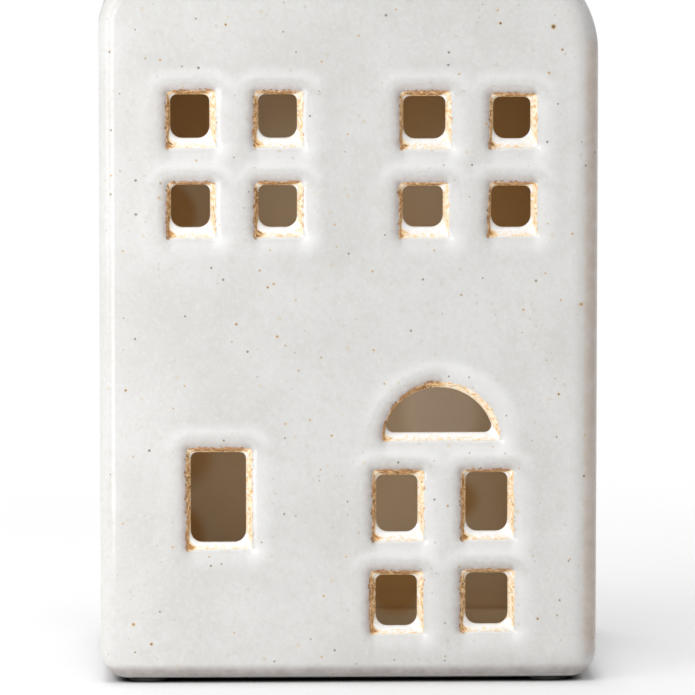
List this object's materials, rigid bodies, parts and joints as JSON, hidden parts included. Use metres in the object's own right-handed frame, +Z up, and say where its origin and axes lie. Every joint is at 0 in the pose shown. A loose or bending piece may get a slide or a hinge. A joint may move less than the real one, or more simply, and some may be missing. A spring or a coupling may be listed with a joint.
{
  "type": "tealight house",
  "caption": "Glazed stoneware gable-roofed house with cut windows, a half-round fanlight and an open base, set over a tealight.",
  "frame": {"origin": "centre of the footprint, on the surface that the house stands on", "axes": "+Z up to the ridge, -Y out of the front with the windows, +X to the right of someone who looks at the front"},
  "size_m": [0.1, 0.075, 0.1751],
  "materials": {
    "glazed_stoneware": "semi-gloss off-white glaze with brown specks that breaks to brown at the cut edges, over raw brown stoneware inside",
    "pad_felt": "dark pressed felt",
    "cup_aluminium": "bright pressed sheet",
    "candle_wax": "white paraffin wax, slightly translucent",
    "wick_cotton": "waxed braided cotton",
    "sustainer_steel": "thin tinned steel"
  },
  "bodies": {
    "house": {"house_body": "glazed_stoneware", "foot_pad_front_left": "pad_felt", "foot_pad_front_right": "pad_felt", "foot_pad_rear_left": "pad_felt", "foot_pad_rear_right": "pad_felt"},
    "tealight": {"tealight_cup": "cup_aluminium"},
    "candle": {"tealight_wax": "candle_wax", "tealight_wick": "wick_cotton", "wick_sustainer": "sustainer_steel"}
  },
  "joints": [
    {"name": "house_lift", "type": "slide", "parent": "house", "child": "tealight", "axis": [0, 0, -1], "range_m": [0, 0.03]},
    {"name": "candle_lift", "type": "slide", "parent": "tealight", "child": "candle", "axis": [0, 0, 1], "range_m": [0, 0.02]}
  ]
}
